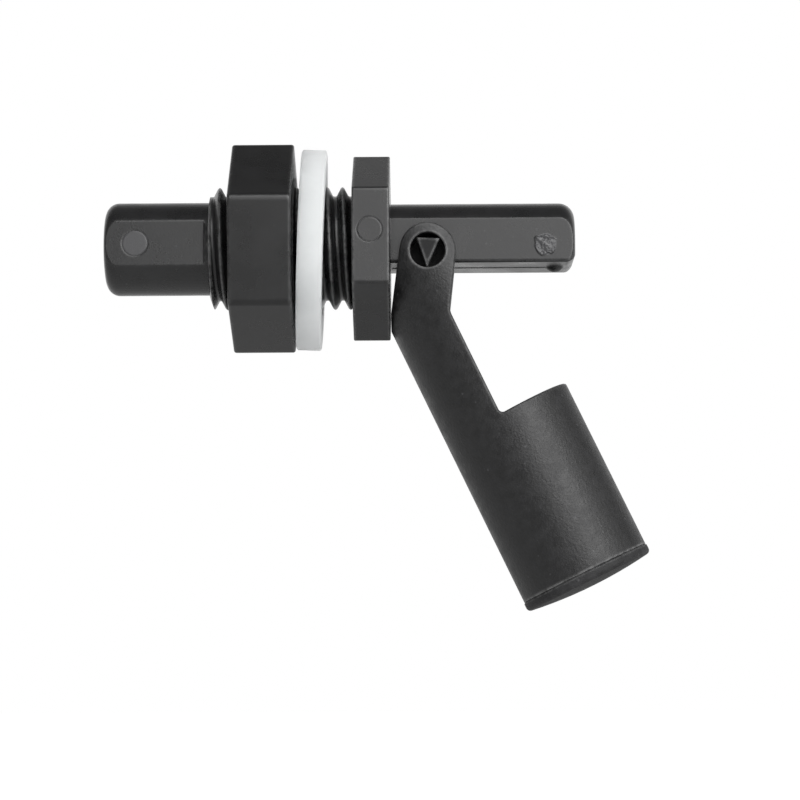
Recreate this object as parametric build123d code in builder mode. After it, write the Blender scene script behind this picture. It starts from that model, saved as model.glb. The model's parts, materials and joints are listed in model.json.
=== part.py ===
"""Side-mounted level sensor: a threaded plastic housing with a stem that holds a reed contact, and a
float on a hinged arm that carries the magnet. Sizes are in millimetres. X runs along the thread toward
the stem's tip, Z is up, and the origin is the centre of the hex flange's sealing face.
"""

import os
from math import acos, cos, hypot, radians, sin, sqrt, tan

from build123d import *

os.makedirs("parts", exist_ok=True)

# Housing, with lengths measured from the flange
boss_length = 13.6
thread_length = 18.6
flange_thickness = 4.8
stem_length = 23.95
thread_major_diameter = 16.0
thread_lead_in = 0.45
thread_lead_in_depth = 1.2
boss_diameter = 12.1
boss_width_over_flats = 10.6
boss_end_rounding = 1.7
boss_flat_shoulder = 0.55
boss_flat_edge_chamfer = 0.1
flange_across_flats = 21.2
flange_corner_rounding = 0.6
flange_edge_rounding = 0.2
stem_diameter = 11.44
stem_width_over_flats = 9.6
stem_underside_drop = 2.65
stem_shoulder_rounding = 2.0
stem_lower_edge_rounding = 0.45
stem_tip_rounding = 2.0
stem_tip_underside_rounding = 1.3
stop_stud_from_tip = 2.55
stop_stud_diameter = 2.4
stop_stud_height = 0.65

# Hinge
pivot_from_flange = 4.85
pivot_drop = 1.57
hinge_hole_diameter = 4.5
trunnion_edge_clearance = 0.08
trunnion_top_width = 2.95
trunnion_span = 16.4
trunnion_lean = 2.7
trunnion_root_depth = 0.6
trunnion_edge_rounding = 0.2
hinge_hub_diameter = 5.8
hinge_hole_edge_rounding = 0.15

# Cavities in the housing
inlet_diameter = 6.6
inlet_depth = 2.5
potting_cavity_diameter = 5.8
potting_cavity_length = 21.7
reed_bore_diameter = 3.9
reed_bore_height = 0.9
stem_end_wall = 1.8

# Nut and washer
nut_body_length = 8.1
nut_across_flats = 23.8
nut_corner_rounding = 1.1
nut_edge_rounding = 0.35
nut_turn = 9.5
nut_collar_diameter = 18.6
nut_collar_height = 0.15
nut_running_clearance = 0.05
nut_washer_gap = 0.1
washer_past_nut_flats = 1.175
washer_thickness = 3.25
washer_standoff = 3.795
washer_sag = 0.23
washer_bore_clearance = 0.4
washer_lean_up = 1.92
washer_lean_side = 1.05
washer_edge_rounding = 0.3

# Float and arm, in the arm's own directions: along the arm from the pivot, and toward its back
arm_tilt = 25.7
float_diameter = 17.36
float_axis_offset = -0.31
float_top = 22.95
float_top_lean = 2.7
float_seam = 45.6
float_wall = 1.5
float_top_wall = 1.6
arm_front_face = 0.9
arm_head_radius = 3.6
neck_lean_front = 6.2
neck_lean_back = 8.3
heel_rounding = 1.0
heel_gap = 0.1
fork_gap = 0.3
fork_floor_radius = 5.2
arm_core_front_wall = 1.5
inner_bend_rounding = 2.2
notch_rounding = 0.6
arm_edge_rounding = 0.3
magnet_diameter = 4.8
magnet_length = 8.0
magnet_start = 8.2
magnet_front_wall = 1.05
magnet_pocket_clearance = 0.1
magnet_plug_length = 2.0
magnet_plug_recess = 0.2
cap_rim_thickness = 1.25
cap_step = 0.1
cap_seam_groove = 0.2
cap_rim_rounding = 0.6
cap_dome_height = 0.65
cap_spigot_length = 2.0
cap_spigot_wall = 1.4
cap_fit_clearance = 0.05

# Reed contact and its wiring
reed_height = 0.2
reed_glass_diameter = 2.0
reed_glass_wall = 0.25
reed_glass_length = 12.0
reed_end_gap = 0.325
reed_seal_length = 1.6
reed_blade_width = 1.1
reed_blade_thickness = 0.2
reed_contact_gap = 0.12
reed_contact_overlap = 1.2
reed_pin_diameter = 0.5
reed_pin_reach = 0.6
reed_return_height = 2.05
reed_sleeve_wall = 0.15
wire_clearance = 0.02
wire_core_diameter = 0.5
wire_cover_diameter = 1.0
joint_diameter = 0.9
joint_length = 2.4
joint_grip = 1.0
joint_glass_gap = 1.2
joint_stagger = 3.0
joint_sleeve_wall = 0.2
joint_sleeve_length = 4.2
potting_clearance = 0.02

# Places and sizes that follow from the ones above
hex_turn = 30
same_size = 1e-3
thread_start_x = -thread_length
boss_end_x = thread_start_x - boss_length
stem_tip_x = flange_thickness + stem_length
stop_stud_x = stem_tip_x - stop_stud_from_tip
pivot_x = flange_thickness + pivot_from_flange
pivot_z = -pivot_drop
thread_radius = thread_major_diameter / 2
boss_radius = boss_diameter / 2
stem_radius = stem_diameter / 2
stem_flat = stem_width_over_flats / 2
float_radius = float_diameter / 2
hinge_hole_radius = hinge_hole_diameter / 2
lead_end_x = boss_end_x + inlet_depth
potting_front_x = lead_end_x + potting_cavity_length
reed_bore_front_x = stem_tip_x - stem_end_wall
washer_diameter = nut_across_flats + 2 * washer_past_nut_flats


def across(x, y=0.0, z=0.0):
    """A plane that faces along +X, with its own axes along +Y and +Z."""
    return Plane(origin=(x, y, z), x_dir=(0, 1, 0), z_dir=(1, 0, 0))


def side(y, x=0.0, z=0.0):
    """A plane that faces along -Y, with its own axes along +X and +Z."""
    return Plane(origin=(x, y, z), x_dir=(1, 0, 0), z_dir=(0, -1, 0))


# Directions of the hanging arm: from the pivot to the float, and toward the arm's back
tilt = radians(arm_tilt)
along = Vector(sin(tilt), 0, -cos(tilt))
back = Vector(-cos(tilt), 0, -sin(tilt))
pivot = Vector(pivot_x, 0, pivot_z)
arm_side = Plane(origin=pivot, x_dir=along, z_dir=(0, 1, 0))


def arm_section(distance, depth=0.0):
    """A plane square to the arm at a distance from the pivot, moved toward the arm's back."""
    return Plane(origin=pivot + along * distance + back * depth, x_dir=back, z_dir=along)


# Housing: cable boss, threaded body, hex flange and stem, moulded in one piece
with BuildPart() as housing:
    with BuildSketch(side(0)) as boss_profile:
        with Locations((boss_end_x + boss_length / 2, boss_radius / 2)):
            Rectangle(boss_length, boss_radius)
        fillet(boss_profile.vertices().sort_by_distance((boss_end_x, boss_radius))[0], boss_end_rounding)
    revolve(axis=Axis.X)
    with BuildSketch(across(boss_end_x)):
        Rectangle(2 * boss_diameter, 2 * boss_diameter)
        Rectangle(boss_width_over_flats, 2 * boss_diameter, mode=Mode.SUBTRACT)
    extrude(amount=boss_length - boss_flat_shoulder, mode=Mode.SUBTRACT)
    chamfer(housing.edges().filter_by(GeomType.LINE).filter_by(Axis.X), boss_flat_edge_chamfer)

    with BuildSketch(side(0)):
        with BuildLine():
            Polyline(
                (thread_start_x, 0),
                (thread_start_x, thread_radius - thread_lead_in_depth),
                (thread_start_x + thread_lead_in, thread_radius),
                (0, thread_radius),
                (0, 0),
                close=True,
            )
        make_face()
    revolve(axis=Axis.X)

    with BuildSketch(across(0)) as flange_outline:
        RegularPolygon(flange_across_flats / 2, 6, major_radius=False, rotation=hex_turn)
        fillet(flange_outline.vertices(), flange_corner_rounding)
    extrude(amount=flange_thickness)
    flange_rims = housing.edges().filter_by(
        lambda edge: min(abs(edge.center().X), abs(edge.center().X - flange_thickness)) < same_size
        and hypot(edge.center().Y, edge.center().Z) > thread_radius + same_size
    )
    fillet(flange_rims, flange_edge_rounding)

    # Stem: a round bar with a rounded tip, cut flat on both sides and underneath, and rounded below the tip
    with BuildPart(mode=Mode.PRIVATE) as stem:
        with BuildSketch(across(flange_thickness)):
            Circle(stem_radius)
        extrude(amount=stem_length)
        fillet(stem.edges().group_by(Axis.X)[-1], stem_tip_rounding)
        with BuildSketch(across(flange_thickness)) as stem_outline:
            Circle(stem_radius)
            with Locations((0, (stem_radius - stem_underside_drop) / 2)):
                Rectangle(stem_width_over_flats, stem_radius + stem_underside_drop, mode=Mode.INTERSECT)
            low_corners = stem_outline.vertices().group_by(Axis.Y)[0]
            shoulders = stem_outline.vertices().group_by(Axis.Y)[-1]
            fillet(low_corners, stem_lower_edge_rounding)
            fillet(shoulders, stem_shoulder_rounding)
        extrude(amount=stem_length, mode=Mode.INTERSECT)
        with BuildSketch(side(0, flange_thickness)) as stem_side:
            with Locations((stem_length / 2, (stem_radius - stem_underside_drop) / 2)):
                Rectangle(stem_length, stem_radius + stem_underside_drop)
            tip_corners = stem_side.vertices().group_by(Axis.X)[-1]
            fillet(tip_corners.sort_by(Axis.Y)[0], stem_tip_underside_rounding)
        extrude(amount=stem_radius, both=True, mode=Mode.INTERSECT)
    add(stem.part)

    # Domed stud that the raised arm comes to rest on
    stop_stud_radius = ((stop_stud_diameter / 2) ** 2 + stop_stud_height**2) / (2 * stop_stud_height)
    with Locations((stop_stud_x, 0, stop_stud_radius - stem_underside_drop - stop_stud_height)):
        Sphere(stop_stud_radius)

    # Hub that carries the hinge pins below the stem's underside
    with BuildSketch(side(0, pivot_x, pivot_z)):
        Circle(hinge_hub_diameter / 2)
    extrude(amount=stem_flat, both=True)

    # Three-edged hinge pins on both sides of the stem
    trunnion_radius = hinge_hole_radius - trunnion_edge_clearance
    trunnion_top = sqrt(trunnion_radius**2 - (trunnion_top_width / 2) ** 2)
    for facing in (1, -1):
        root_y = facing * (stem_flat - trunnion_root_depth)
        with BuildSketch(side(root_y, pivot_x, pivot_z)):
            with BuildLine(Rotation(0, 0, -trunnion_lean)):
                Polyline(
                    (-trunnion_top_width / 2, trunnion_top),
                    (trunnion_top_width / 2, trunnion_top),
                    (0, -trunnion_radius),
                    close=True,
                )
            make_face()
        extrude(amount=-facing * (trunnion_span / 2 - abs(root_y)))
    pin_ends = housing.faces().filter_by(Axis.Y).filter_by(
        lambda face: abs(abs(face.center().Y) - trunnion_span / 2) < same_size
    )
    fillet(pin_ends.edges(), trunnion_edge_rounding)

    # Cable inlet, potting cavity and reed bore
    with BuildSketch(across(boss_end_x)):
        Circle(inlet_diameter / 2)
    extrude(amount=inlet_depth, mode=Mode.SUBTRACT)
    with BuildSketch(across(lead_end_x)):
        Circle(potting_cavity_diameter / 2)
    extrude(amount=potting_cavity_length, mode=Mode.SUBTRACT)
    with BuildSketch(across(potting_front_x, 0, reed_bore_height)):
        Circle(reed_bore_diameter / 2)
    extrude(amount=reed_bore_front_x - potting_front_x, mode=Mode.SUBTRACT)

# Soft sealing washer that hangs on the thread and leans a little
washer_bore_radius = thread_radius + washer_bore_clearance
washer_centre_x = -(washer_standoff + washer_thickness / 2)
washer_lean = Rotation(washer_lean_up, washer_lean_side, 0)
washer_seat = Plane(across(washer_centre_x, 0, -washer_sag).location * washer_lean)
with BuildPart() as sealing_washer:
    with BuildSketch(washer_seat):
        Circle(washer_diameter / 2)
        Circle(washer_bore_radius, mode=Mode.SUBTRACT)
    extrude(amount=washer_thickness / 2, both=True)
    fillet(
        sealing_washer.edges().filter_by(GeomType.CIRCLE).filter_by(
            lambda edge: edge.radius > washer_bore_radius + same_size
        ),
        washer_edge_rounding,
    )

# Hex nut with a low round collar toward the washer, which it nearly touches where the washer leans back
nut_bore_radius = thread_radius + nut_running_clearance
nut_collar_radius = nut_collar_diameter / 2
lean = acos(cos(radians(washer_lean_up)) * cos(radians(washer_lean_side)))
washer_back_x = washer_centre_x - washer_thickness / 2 / cos(lean) - nut_collar_radius * tan(lean)
nut_front_x = washer_back_x - nut_washer_gap - nut_collar_height
nut_rear_x = nut_front_x - nut_body_length
with BuildPart() as mounting_nut:
    with BuildSketch(across(nut_rear_x)) as nut_outline:
        RegularPolygon(nut_across_flats / 2, 6, major_radius=False, rotation=hex_turn + nut_turn)
        fillet(nut_outline.vertices(), nut_corner_rounding)
    extrude(amount=nut_body_length)
    fillet(mounting_nut.edges().filter_by(Plane.YZ), nut_edge_rounding)
    with BuildSketch(across(nut_front_x)):
        Circle(nut_collar_radius)
    extrude(amount=nut_collar_height)
    with BuildSketch(across(nut_rear_x)):
        Circle(nut_bore_radius)
    extrude(amount=nut_body_length + nut_collar_height, mode=Mode.SUBTRACT)

# Side outline of the arm and the float shell, drawn in the arm's own directions
magnet_pocket_radius = magnet_diameter / 2 + magnet_pocket_clearance
magnet_depth = arm_front_face + magnet_front_wall + magnet_pocket_radius
arm_core_start = magnet_start + magnet_length + magnet_plug_length + magnet_plug_recess
back_line = float_radius + float_axis_offset
back_limit = float_diameter
heel_x = flange_thickness + heel_gap - pivot_x


def neck_side(lean, facing):
    """Where one side of the neck leaves the head's circle, and the way it runs down from there."""
    angle = radians(lean + arm_tilt)
    down = Vector(cos(angle), sin(angle))
    start = Vector(-sin(angle), cos(angle)) * facing * arm_head_radius
    return start, down


head_front, front_down = neck_side(neck_lean_front, -1)
head_back, back_down = neck_side(neck_lean_back, 1)
inner_bend = head_front + front_down * ((arm_front_face - head_front.Y) / front_down.Y)
heel_run = (heel_x - along.X * head_back.X - back.X * head_back.Y) / (
    along.X * back_down.X + back.X * back_down.Y
)
heel_high = head_back + back_down * heel_run
heel_low = Vector((heel_x - back.X * back_line) / along.X, back_line)
heel_past = Vector((heel_x - back.X * back_limit) / along.X, back_limit)

# Float shell: arm with a forked head, moulded in one piece with the hollow float body
with BuildPart() as float_shell:
    with BuildSketch(arm_section(-arm_head_radius, float_axis_offset)):
        Circle(float_radius)
    extrude(amount=arm_head_radius + float_seam)
    with BuildSketch(arm_side) as arm_outline:
        with BuildLine():
            Polyline(
                (head_front.X, head_front.Y),
                (inner_bend.X, inner_bend.Y),
                (float_top, arm_front_face),
                (float_top - (back_limit + arm_front_face) * tan(radians(float_top_lean)), -back_limit),
                (float_seam, -back_limit),
                (float_seam, back_limit),
                (heel_past.X, heel_past.Y),
                (heel_high.X, heel_high.Y),
                (head_back.X, head_back.Y),
                close=True,
            )
        make_face()
        fillet(arm_outline.vertices().sort_by_distance((inner_bend.X, inner_bend.Y))[0], inner_bend_rounding)
        fillet(arm_outline.vertices().sort_by_distance((float_top, arm_front_face))[0], notch_rounding)
        fillet(arm_outline.vertices().sort_by_distance((heel_high.X, heel_high.Y))[0], heel_rounding)
        Circle(arm_head_radius)
    extrude(amount=float_diameter, both=True, mode=Mode.INTERSECT)
    outer_skin = float_shell.faces().filter_by(GeomType.CYLINDER).filter_by(
        lambda face: abs(face.radius - float_radius) < same_size
    )
    open_end = arm_section(float_seam).location.position
    fillet(
        outer_skin.edges().filter_by(lambda edge: abs((edge.center() - open_end).dot(along)) > same_size),
        arm_edge_rounding,
    )

    # Fork for the stem, with a floor that clears the stem at every angle, and the hinge hole
    with BuildSketch(arm_side):
        Circle(fork_floor_radius)
        with Locations((0, arm_front_face - back_limit / 2)):
            Rectangle(2 * arm_core_start, back_limit)
    extrude(amount=stem_flat + fork_gap, both=True, mode=Mode.SUBTRACT)
    with BuildSketch(arm_side):
        Circle(hinge_hole_radius)
    extrude(amount=float_radius, both=True, mode=Mode.SUBTRACT)
    outer_skin = float_shell.faces().filter_by(GeomType.CYLINDER).filter_by(
        lambda face: abs(face.radius - float_radius) < same_size
    )
    hole_wall = float_shell.faces().filter_by(GeomType.CYLINDER).filter_by(
        lambda face: abs(face.radius - hinge_hole_radius) < same_size
    )
    skin_places = [edge.center() for edge in outer_skin.edges()]
    hole_rims = hole_wall.edges().filter_by(
        lambda edge: any((edge.center() - place).length < same_size for place in skin_places)
    )
    fillet(hole_rims, hinge_hole_edge_rounding)

    # Hollow float body, hollow back of the arm and the round pocket for the magnet
    inner_radius = float_radius - float_wall
    with BuildSketch(arm_section(float_top + float_top_wall, float_axis_offset)):
        Circle(inner_radius)
    extrude(amount=float_seam - float_top - float_top_wall, mode=Mode.SUBTRACT)
    core_front = arm_front_face + arm_core_front_wall - float_axis_offset
    with BuildSketch(arm_section(arm_core_start, float_axis_offset)):
        Circle(inner_radius)
        with Locations((core_front + inner_radius / 2, 0)):
            Rectangle(inner_radius, 2 * inner_radius, mode=Mode.INTERSECT)
    extrude(amount=float_top + float_top_wall - arm_core_start, mode=Mode.SUBTRACT)
    with BuildSketch(arm_section(magnet_start, magnet_depth)):
        Circle(magnet_pocket_radius)
    extrude(amount=arm_core_start - magnet_start, mode=Mode.SUBTRACT)

# Float cap: welded disc with a slightly domed end and a spigot inside the float body
cap_radius = float_radius + cap_step
spigot_radius = inner_radius - cap_fit_clearance
cap_outer = float_seam + cap_rim_thickness
dome_radius = (cap_radius**2 + cap_dome_height**2) / (2 * cap_dome_height)
dome_middle = cap_outer + cap_dome_height - dome_radius + sqrt(dome_radius**2 - cap_radius**2 / 4)
float_side = Plane(origin=pivot + back * float_axis_offset, x_dir=along, z_dir=(0, 1, 0))
with BuildPart() as float_cap:
    with BuildSketch(float_side) as cap_profile:
        with BuildLine():
            Polyline(
                (cap_outer + cap_dome_height, 0),
                (float_seam, 0),
                (float_seam, spigot_radius - cap_spigot_wall),
                (float_seam - cap_spigot_length, spigot_radius - cap_spigot_wall),
                (float_seam - cap_spigot_length, spigot_radius),
                (float_seam, spigot_radius),
                (float_seam, cap_radius - cap_seam_groove),
                (float_seam + cap_seam_groove, cap_radius),
                (cap_outer, cap_radius),
            )
            ThreePointArc(
                (cap_outer, cap_radius),
                (dome_middle, cap_radius / 2),
                (cap_outer + cap_dome_height, 0),
            )
        make_face()
        fillet(cap_profile.vertices().sort_by_distance((cap_outer, cap_radius))[0], cap_rim_rounding)
    revolve(axis=Axis(float_side.origin, along))

# Magnet and its plug in the arm
with BuildPart() as float_magnet:
    with BuildSketch(arm_section(magnet_start, magnet_depth)):
        Circle(magnet_diameter / 2)
    extrude(amount=magnet_length)
    chamfer(float_magnet.edges(), magnet_pocket_clearance)

with BuildPart() as magnet_plug:
    with BuildSketch(arm_section(magnet_start + magnet_length, magnet_depth)):
        Circle(magnet_pocket_radius)
    extrude(amount=magnet_plug_length)

# Reed contact: glass capsule with two overlapping blades
glass_radius = reed_glass_diameter / 2
glass_bore = glass_radius - reed_glass_wall
pin_radius = reed_pin_diameter / 2
pin_bore = pin_radius + wire_clearance
return_bend = (reed_return_height - reed_height) / 2
glass_front_x = reed_bore_front_x - reed_end_gap - pin_radius - return_bend - reed_pin_reach
glass_rear_x = glass_front_x - reed_glass_length
with BuildPart() as reed_glass:
    with BuildSketch(across(glass_rear_x, 0, reed_height)):
        Circle(glass_radius)
    extrude(amount=reed_glass_length)
    fillet(reed_glass.edges(), glass_radius / 2)
    with BuildSketch(across(glass_rear_x + reed_seal_length, 0, reed_height)):
        Circle(glass_bore)
    extrude(amount=reed_glass_length - 2 * reed_seal_length, mode=Mode.SUBTRACT)
    with BuildSketch(across(glass_rear_x, 0, reed_height)):
        Circle(pin_bore)
    extrude(amount=reed_glass_length, mode=Mode.SUBTRACT)

contact_x = glass_rear_x + reed_glass_length / 2
blade_root = reed_seal_length + wire_clearance
joint_rear_end_x = glass_rear_x - joint_glass_gap
joint_rear_start_x = joint_rear_end_x - joint_length
joint_front_end_x = joint_rear_end_x - joint_stagger
joint_front_start_x = joint_front_end_x - joint_length
with BuildPart() as reed_blade_rear:
    with BuildSketch(across(joint_rear_end_x - joint_grip, 0, reed_height)):
        Circle(pin_radius)
    extrude(amount=glass_rear_x + blade_root + reed_pin_reach - joint_rear_end_x + joint_grip)
    with BuildSketch(across(glass_rear_x + blade_root, 0, reed_height)):
        with Locations((0, -(reed_contact_gap + reed_blade_thickness) / 2)):
            Rectangle(reed_blade_width, reed_blade_thickness)
    extrude(amount=contact_x + reed_contact_overlap / 2 - glass_rear_x - blade_root)

with BuildPart() as reed_blade_front:
    with BuildLine():
        Polyline(
            (glass_front_x - blade_root - reed_pin_reach, 0, reed_height),
            (glass_front_x + reed_pin_reach, 0, reed_height),
        )
        ThreePointArc(
            (glass_front_x + reed_pin_reach, 0, reed_height),
            (glass_front_x + reed_pin_reach + return_bend, 0, reed_height + return_bend),
            (glass_front_x + reed_pin_reach, 0, reed_return_height),
        )
        Line(
            (glass_front_x + reed_pin_reach, 0, reed_return_height),
            (joint_front_end_x - joint_grip, 0, reed_return_height),
        )
    with BuildSketch(across(glass_front_x - blade_root - reed_pin_reach, 0, reed_height)):
        Circle(pin_radius)
    sweep()
    with BuildSketch(across(contact_x - reed_contact_overlap / 2, 0, reed_height)):
        with Locations((0, (reed_contact_gap + reed_blade_thickness) / 2)):
            Rectangle(reed_blade_width, reed_blade_thickness)
    extrude(amount=glass_front_x - blade_root - contact_x + reed_contact_overlap / 2)

sleeve_bore = glass_radius + wire_clearance
with BuildPart() as reed_sleeve:
    with BuildSketch(across(glass_rear_x + glass_radius / 2, 0, reed_height)):
        Circle(sleeve_bore + reed_sleeve_wall)
        Circle(sleeve_bore, mode=Mode.SUBTRACT)
    extrude(amount=reed_glass_length - glass_radius)

# Crimped joints, their sleeves and the two lead ends, which stop at the potting's rear face
core_radius = wire_core_diameter / 2
cover_radius = wire_cover_diameter / 2
joint_radius = joint_diameter / 2
joint_sleeve_bore = cover_radius + wire_clearance


def build_joint(start_x, height):
    """A crimp barrel that grips the reed's pin at its front and the wire's core at its rear."""
    with BuildPart() as joint:
        with BuildSketch(across(start_x, 0, height)):
            Circle(joint_radius)
            Circle(pin_bore, mode=Mode.SUBTRACT)
        extrude(amount=joint_length)
    return joint.part


def build_joint_sleeve(start_x, height):
    """A shrink sleeve over a crimp barrel and the end of its wire's cover."""
    with BuildPart() as sleeve:
        with BuildSketch(across(start_x + joint_length - joint_sleeve_length, 0, height)):
            Circle(joint_sleeve_bore + joint_sleeve_wall)
            Circle(joint_sleeve_bore, mode=Mode.SUBTRACT)
        extrude(amount=joint_sleeve_length)
    return sleeve.part


def build_core(start_x, height):
    """A wire's copper core from its joint to the rear face of the potting."""
    with BuildPart() as core:
        with BuildSketch(across(lead_end_x, 0, height)):
            Circle(core_radius)
        extrude(amount=start_x + joint_grip - lead_end_x)
    return core.part


def build_cover(start_x, height):
    """A wire's insulation from its joint to the rear face of the potting."""
    with BuildPart() as cover:
        with BuildSketch(across(lead_end_x, 0, height)):
            Circle(cover_radius)
            Circle(core_radius + wire_clearance, mode=Mode.SUBTRACT)
        extrude(amount=start_x - wire_clearance - lead_end_x)
    return cover.part


# Potting that closes the housing behind the wiring
cover_channel = cover_radius + potting_clearance
with BuildPart() as potting_compound:
    with BuildSketch(across(lead_end_x)):
        Circle(potting_cavity_diameter / 2 - potting_clearance)
        with Locations((0, reed_height), (0, reed_return_height)):
            Circle(cover_channel, mode=Mode.SUBTRACT)
    extrude(amount=potting_cavity_length - potting_clearance)

nodes = {
    "housing": housing.part,
    "mounting_nut": mounting_nut.part,
    "sealing_washer": sealing_washer.part,
    "float_shell": float_shell.part,
    "float_cap": float_cap.part,
    "float_magnet": float_magnet.part,
    "magnet_plug": magnet_plug.part,
    "reed_glass": reed_glass.part,
    "reed_blade_front": reed_blade_front.part,
    "reed_blade_rear": reed_blade_rear.part,
    "reed_sleeve": reed_sleeve.part,
    "joint_front": build_joint(joint_front_start_x, reed_return_height),
    "joint_rear": build_joint(joint_rear_start_x, reed_height),
    "joint_sleeve_front": build_joint_sleeve(joint_front_start_x, reed_return_height),
    "joint_sleeve_rear": build_joint_sleeve(joint_rear_start_x, reed_height),
    "wire_core_front": build_core(joint_front_start_x, reed_return_height),
    "wire_core_rear": build_core(joint_rear_start_x, reed_height),
    "wire_cover_front": build_cover(joint_front_start_x, reed_return_height),
    "wire_cover_rear": build_cover(joint_rear_start_x, reed_height),
    "potting_compound": potting_compound.part,
}
for name, shape in nodes.items():
    shape.label = name
    export_step(shape, f"parts/{name}.step")
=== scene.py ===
"""Looks of the side-mounted level sensor: its thread, moulded black plastics, soft washer, reed and studio.

Lengths are in metres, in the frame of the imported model: X along the thread toward the stem's tip, Z up,
origin at the centre of the hex flange's sealing face.
"""

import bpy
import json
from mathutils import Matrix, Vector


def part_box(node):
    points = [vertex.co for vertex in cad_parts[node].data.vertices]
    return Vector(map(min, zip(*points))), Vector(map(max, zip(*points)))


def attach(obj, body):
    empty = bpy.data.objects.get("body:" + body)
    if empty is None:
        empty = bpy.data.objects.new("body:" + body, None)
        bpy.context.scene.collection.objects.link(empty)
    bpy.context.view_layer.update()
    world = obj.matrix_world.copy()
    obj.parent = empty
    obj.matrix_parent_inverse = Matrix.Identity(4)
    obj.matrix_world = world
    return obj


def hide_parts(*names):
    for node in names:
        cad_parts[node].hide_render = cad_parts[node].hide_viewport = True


bl_info = {
    "name": "Level Sensor Looks",
    "version": (1, 0, 0),
    "blender": (4, 5, 0),
    "location": "3D View > Sidebar > Level Sensor",
    "description": "Threads, finishes and studio for a side-mounted level sensor",
    "category": "Object",
}

import json
from collections import namedtuple
from math import cos, pi, radians, sin, tan, tau

import bmesh
import bpy
from bpy.props import FloatProperty, FloatVectorProperty, IntProperty, PointerProperty
from mathutils import Matrix, Quaternion, Vector, noise

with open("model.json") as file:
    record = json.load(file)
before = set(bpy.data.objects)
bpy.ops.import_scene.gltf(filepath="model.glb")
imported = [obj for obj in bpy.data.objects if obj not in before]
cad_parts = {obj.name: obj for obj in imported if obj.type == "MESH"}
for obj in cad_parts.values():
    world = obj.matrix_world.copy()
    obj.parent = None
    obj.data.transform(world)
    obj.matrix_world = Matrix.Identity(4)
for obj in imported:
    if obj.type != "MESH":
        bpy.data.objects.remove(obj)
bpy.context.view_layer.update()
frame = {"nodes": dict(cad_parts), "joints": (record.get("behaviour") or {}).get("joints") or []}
nodes_of = frame["nodes"]
float_hinge = Vector(next(joint for joint in frame["joints"] if joint["name"] == "float_pivot")["pos_m"])
MM = 0.001

# Planes of the CAD housing that carry a mark or the parting line
BOSS_FLAT_Y = -5.3 * MM
STEM_FLAT_Y = -4.8 * MM
STEM_UNDERSIDE_Z = -2.65 * MM

# Half of the groove's section, from its round root to its round crest and on past it:
# share of half the pitch away from the groove's middle, and height over the root or the crest
GROOVE_ROOT = ((0.10, 0.0), (0.20, 0.03 * MM), (0.27, 0.10 * MM))
GROOVE_CREST = (
    (0.74, -0.20 * MM), (0.84, -0.08 * MM), (0.93, -0.02 * MM), (0.985, 0.01 * MM), (0.985, 0.4 * MM))

# Limits and steps of the mesh tools
CAD_WELD = 0.0005 * MM
CUT_WELD = 0.001 * MM
FLAT_TOLERANCE = 0.001 * MM
MERGE_ANGLE = radians(0.2)
SHARP_ANGLE = radians(12)
NORMAL_WEIGHT = 80
RING_STEPS = 72
RING_SECTION_STEPS = 10

# Colours of the pieces inside the housing and the float
NICKEL = (0.62, 0.61, 0.58)
REED_GLASS_GREEN = (0.72, 0.86, 0.77)
TINNED_IRON = (0.68, 0.66, 0.62)
TINNED_BRASS = (0.7, 0.69, 0.66)
COPPER = (0.83, 0.45, 0.3)
SLEEVE_BLACK = (0.02, 0.02, 0.021)
WIRE_BLACK = (0.018, 0.018, 0.019)
POTTING_BLACK = (0.016, 0.016, 0.017)

# How many times lighter than the plastic its specks and its dull round marks are
SPECK_LIGHTER = 7.0
MARK_LIGHTER = 6.0

# A round mark on a flat that faces along -Y, with how far it lightens and roughens the plastic
RoundMark = namedtuple("RoundMark", "x z radius lighten roughen")

# Soft boxes by their direction and extent in degrees as seen from the target, azimuth 0 straight in front
SoftBox = namedtuple("SoftBox", "azimuth elevation width height brightness")
SOFT_BOXES = {
    "front_box": SoftBox(azimuth=6, elevation=14.5, width=28, height=32, brightness=1.9),
    "high_box": SoftBox(azimuth=6, elevation=44.5, width=30, height=27, brightness=3.0),
    "key_box": SoftBox(azimuth=34, elevation=19, width=28, height=40, brightness=4.2),
    "side_box": SoftBox(azimuth=72, elevation=26, width=44, height=44, brightness=0.7),
}


# Settings a user would change

class ThreadSettings(bpy.types.PropertyGroup):
    """The right-hand thread on the housing and in the nut."""

    pitch: FloatProperty(
        name="Pitch", description="Advance of the thread in one turn",
        default=2.0 * MM, min=0.5 * MM, unit="LENGTH")
    major_radius: FloatProperty(
        name="Crest radius", description="Radius of the housing's thread over its crests",
        default=8.0 * MM, min=1 * MM, unit="LENGTH")
    depth: FloatProperty(
        name="Depth", description="Depth of the groove from crest to root",
        default=1.2 * MM, min=0.1 * MM, unit="LENGTH")
    crest_x: FloatProperty(
        name="Crest place", description="Place along X of the last crest on top of the thread",
        default=-1.44 * MM, unit="LENGTH")
    nut_clearance: FloatProperty(
        name="Nut clearance", description="Radial play between the nut's ridge and the groove's root",
        default=0.2 * MM, min=0, unit="LENGTH")
    run_out: FloatProperty(
        name="Run-out", description="Share of the reach behind the flange at which the groove starts",
        subtype="FACTOR", default=0.62, min=0, max=1)
    steps: IntProperty(
        name="Steps per turn", description="Straight steps in one turn of the helix",
        default=72, min=24)


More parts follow.
